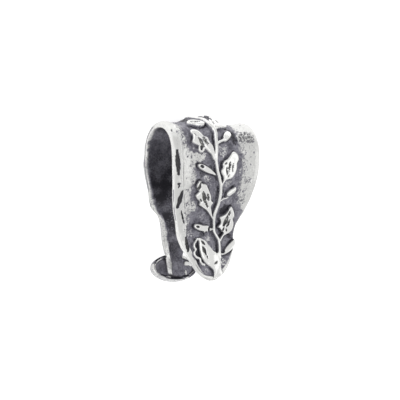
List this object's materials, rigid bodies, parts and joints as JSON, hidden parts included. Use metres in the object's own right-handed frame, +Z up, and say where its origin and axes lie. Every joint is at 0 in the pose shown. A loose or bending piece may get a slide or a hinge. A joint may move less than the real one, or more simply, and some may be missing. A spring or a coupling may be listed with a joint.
{
  "type": "glue-on bail",
  "caption": "Cast silver glue-on bail: a wide strap bent over a chain passage, with a raised vine in front and an oval glue pad behind.",
  "frame": {"origin": "middle of the box's base, on the surface that the bail lies on", "axes": "+Z up from that surface, +Y from the glue pad towards the arch, X along the chain passage"},
  "size_m": [0.0118, 0.0218, 0.0111],
  "materials": {
    "oxidised_silver": "polished on the raised parts and edges, oxidised dark grey in the recesses"
  },
  "bodies": {
    "root": {"bail": "oxidised_silver"}
  },
  "joints": []
}
